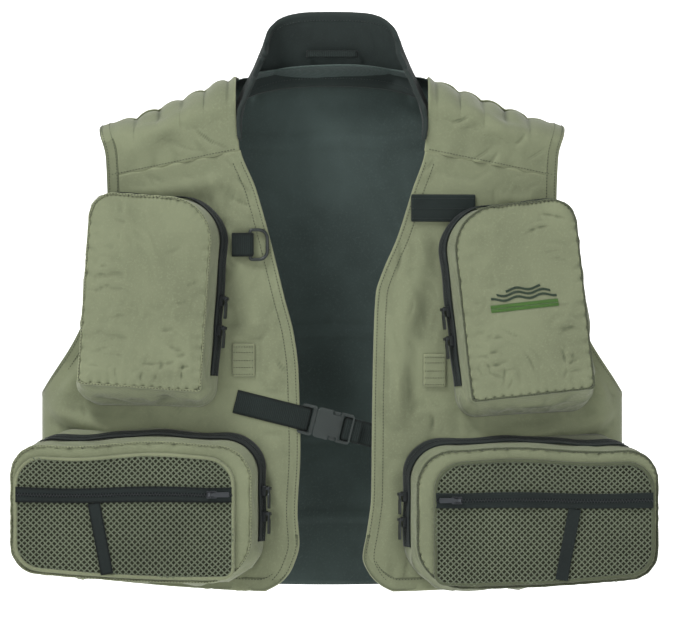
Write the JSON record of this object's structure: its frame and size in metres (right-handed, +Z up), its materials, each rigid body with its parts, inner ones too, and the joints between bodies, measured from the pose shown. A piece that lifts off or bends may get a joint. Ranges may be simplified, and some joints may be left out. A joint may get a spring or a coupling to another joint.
{
  "type": "fishing vest",
  "caption": "Sleeveless fishing vest with stand collar, zipped chest and mesh-front cargo pockets, D-ring, tabs and a buckled front strap, in the shape it has when worn.",
  "frame": {"origin": "in the gap of the hanger loop at the inside back of the collar", "axes": "+Z up, the front faces -Y, +X towards the wearer's left"},
  "size_m": [0.673, 0.1679, 0.6116],
  "materials": {
    "shell_cloth": "matt woven cotton-nylon, olive",
    "lining_cloth": "matt woven lining, dark slate green",
    "webbing": "ribbed webbing, dark slate",
    "zip_tape": "woven zip tape with coil, near black green",
    "mesh_cloth": "open polyester mesh, olive",
    "zip_metal": "dark painted zinc",
    "buckle_plastic": "satin acetal, dark grey-green",
    "emblem_thread": "embroidery thread, green"
  },
  "bodies": {
    "vest": {"accessory_strip": "webbing", "armhole_binding_l": "shell_cloth", "armhole_binding_r": "shell_cloth", "back_lining": "lining_cloth", "back_panel": "shell_cloth", "buckle_female": "buckle_plastic", "buckle_male": "buckle_plastic", "cargo_mesh_l": "mesh_cloth", "cargo_mesh_r": "mesh_cloth", "cargo_pocket_l": "shell_cloth", "cargo_pocket_r": "shell_cloth", "cargo_zip_l": "zip_tape", "cargo_zip_r": "zip_tape", "chest_pocket_l": "shell_cloth", "chest_pocket_r": "shell_cloth", "chest_zip_l": "zip_tape", "chest_zip_r": "zip_tape", "collar": "lining_cloth", "d_ring_tab": "webbing", "divider_tape_l": "zip_tape", "divider_tape_r": "zip_tape", "emblem": "emblem_thread", "front_facing_l": "shell_cloth", "front_facing_r": "shell_cloth", "front_panel_l": "shell_cloth", "front_panel_r": "shell_cloth", "hanger_loop": "webbing", "hem_binding": "shell_cloth", "mesh_zip_l": "zip_tape", "mesh_zip_r": "zip_tape", "strap_left": "webbing", "strap_right": "webbing", "utility_tab_l": "shell_cloth", "utility_tab_r": "shell_cloth", "yoke_l": "shell_cloth", "yoke_r": "shell_cloth"},
    "slider_chest_upper_r": {"slider_chest_upper_r": "zip_metal"},
    "pull_chest_upper_r": {"pull_chest_upper_r": "zip_metal"},
    "slider_chest_lower_r": {"slider_chest_lower_r": "zip_metal"},
    "pull_chest_lower_r": {"pull_chest_lower_r": "zip_metal"},
    "slider_cargo_upper_r": {"slider_cargo_upper_r": "zip_metal"},
    "pull_cargo_upper_r": {"pull_cargo_upper_r": "zip_metal"},
    "slider_cargo_lower_r": {"slider_cargo_lower_r": "zip_metal"},
    "pull_cargo_lower_r": {"pull_cargo_lower_r": "zip_metal"},
    "slider_mesh_r": {"slider_mesh_r": "zip_metal"},
    "pull_mesh_r": {"pull_mesh_r": "zip_metal"},
    "slider_chest_upper_l": {"slider_chest_upper_l": "zip_metal"},
    "pull_chest_upper_l": {"pull_chest_upper_l": "zip_metal"},
    "slider_chest_lower_l": {"slider_chest_lower_l": "zip_metal"},
    "pull_chest_lower_l": {"pull_chest_lower_l": "zip_metal"},
    "slider_cargo_upper_l": {"slider_cargo_upper_l": "zip_metal"},
    "pull_cargo_upper_l": {"pull_cargo_upper_l": "zip_metal"},
    "slider_cargo_lower_l": {"slider_cargo_lower_l": "zip_metal"},
    "pull_cargo_lower_l": {"pull_cargo_lower_l": "zip_metal"},
    "slider_mesh_l": {"slider_mesh_l": "zip_metal"},
    "pull_mesh_l": {"pull_mesh_l": "zip_metal"},
    "d_ring": {"d_ring": "buckle_plastic"},
    "buckle_arm_upper": {"buckle_arm_upper": "buckle_plastic"},
    "buckle_arm_lower": {"buckle_arm_lower": "buckle_plastic"}
  },
  "joints": [
    {"name": "slider_chest_upper_r_slide", "type": "slide", "parent": "vest", "child": "slider_chest_upper_r", "axis": [0.0698, 0, 0.9976], "range_m": [0, 0.03]},
    {"name": "pull_chest_upper_r_swing", "type": "hinge", "parent": "slider_chest_upper_r", "child": "pull_chest_upper_r", "pos_m": [-0.11055, -0.10256, -0.26334], "axis": [-0.4128, -0.9104, 0.0289], "range_deg": [0, 160]},
    {"name": "slider_chest_lower_r_slide", "type": "slide", "parent": "vest", "child": "slider_chest_lower_r", "axis": [-0.0698, 0, -0.9976], "range_m": [0, 0.036]},
    {"name": "pull_chest_lower_r_swing", "type": "hinge", "parent": "slider_chest_lower_r", "child": "pull_chest_lower_r", "pos_m": [-0.11272, -0.10256, -0.29426], "axis": [-0.4128, -0.9104, 0.0289], "range_deg": [0, 160]},
    {"name": "slider_cargo_upper_r_slide", "type": "slide", "parent": "vest", "child": "slider_cargo_upper_r", "axis": [0, 0, 1], "range_m": [0, 0.0085]},
    {"name": "pull_cargo_upper_r_swing", "type": "hinge", "parent": "slider_cargo_upper_r", "child": "pull_cargo_upper_r", "pos_m": [-0.06593, -0.10515, -0.462], "axis": [-0.3576, -0.9339, 0], "range_deg": [0, 160]},
    {"name": "slider_cargo_lower_r_slide", "type": "slide", "parent": "vest", "child": "slider_cargo_lower_r", "axis": [0, 0, -1], "range_m": [0, 0.017]},
    {"name": "pull_cargo_lower_r_swing", "type": "hinge", "parent": "slider_cargo_lower_r", "child": "pull_cargo_lower_r", "pos_m": [-0.06593, -0.10515, -0.4885], "axis": [-0.3576, -0.9339, 0], "range_deg": [0, 160]},
    {"name": "slider_mesh_r_slide", "type": "slide", "parent": "vest", "child": "slider_mesh_r", "axis": [-1, 0, 0], "range_m": [0, 0.19]},
    {"name": "pull_mesh_r_swing", "type": "hinge", "parent": "slider_mesh_r", "child": "pull_mesh_r", "pos_m": [-0.1275, -0.1385, -0.467], "axis": [0, 0, -1], "range_deg": [0, 160]},
    {"name": "slider_chest_upper_l_slide", "type": "slide", "parent": "vest", "child": "slider_chest_upper_l", "axis": [-0.1115, 0, 0.9938], "range_m": [0, 0.03]},
    {"name": "pull_chest_upper_l_swing", "type": "hinge", "parent": "slider_chest_upper_l", "child": "pull_chest_upper_l", "pos_m": [0.11593, -0.10256, -0.27483], "axis": [-0.4112, 0.9104, -0.0461], "range_deg": [0, 160]},
    {"name": "slider_chest_lower_l_slide", "type": "slide", "parent": "vest", "child": "slider_chest_lower_l", "axis": [0.1115, 0, -0.9938], "range_m": [0, 0.036]},
    {"name": "pull_chest_lower_l_swing", "type": "hinge", "parent": "slider_chest_lower_l", "child": "pull_chest_lower_l", "pos_m": [0.11939, -0.10256, -0.30563], "axis": [-0.4112, 0.9104, -0.0461], "range_deg": [0, 160]},
    {"name": "slider_cargo_upper_l_slide", "type": "slide", "parent": "vest", "child": "slider_cargo_upper_l", "axis": [0, 0, 1], "range_m": [0, 0.0085]},
    {"name": "pull_cargo_upper_l_swing", "type": "hinge", "parent": "slider_cargo_upper_l", "child": "pull_cargo_upper_l", "pos_m": [0.07093, -0.10515, -0.468], "axis": [-0.3576, 0.9339, 0], "range_deg": [0, 160]},
    {"name": "slider_cargo_lower_l_slide", "type": "slide", "parent": "vest", "child": "slider_cargo_lower_l", "axis": [0, 0, -1], "range_m": [0, 0.017]},
    {"name": "pull_cargo_lower_l_swing", "type": "hinge", "parent": "slider_cargo_lower_l", "child": "pull_cargo_lower_l", "pos_m": [0.07093, -0.10515, -0.4945], "axis": [-0.3576, 0.9339, 0], "range_deg": [0, 160]},
    {"name": "slider_mesh_l_slide", "type": "slide", "parent": "vest", "child": "slider_mesh_l", "axis": [1, 0, 0], "range_m": [0, 0.19]},
    {"name": "pull_mesh_l_swing", "type": "hinge", "parent": "slider_mesh_l", "child": "pull_mesh_l", "pos_m": [0.1325, -0.1385, -0.473], "axis": [0, 0, 1], "range_deg": [0, 160]},
    {"name": "d_ring_swing", "type": "hinge", "parent": "vest", "child": "d_ring", "pos_m": [-0.086, -0.09516, -0.2065], "axis": [0, 0, -1], "range_deg": [0, 110]},
    {"name": "buckle_arm_upper_press", "type": "hinge", "parent": "vest", "child": "buckle_arm_upper", "pos_m": [-0.01421, -0.0914, -0.38353], "axis": [0, 1, 0], "range_deg": [0, 5], "stiffness_Nm_per_rad": 0.5},
    {"name": "buckle_arm_lower_press", "type": "hinge", "parent": "vest", "child": "buckle_arm_lower", "pos_m": [-0.01856, -0.0914, -0.40099], "axis": [0, 1, 0], "range_deg": [-5, 0], "stiffness_Nm_per_rad": 0.5}
  ],
  "couplings": [
    {"joint": "buckle_arm_lower_press", "follows": "buckle_arm_upper_press", "ratio": -1}
  ]
}
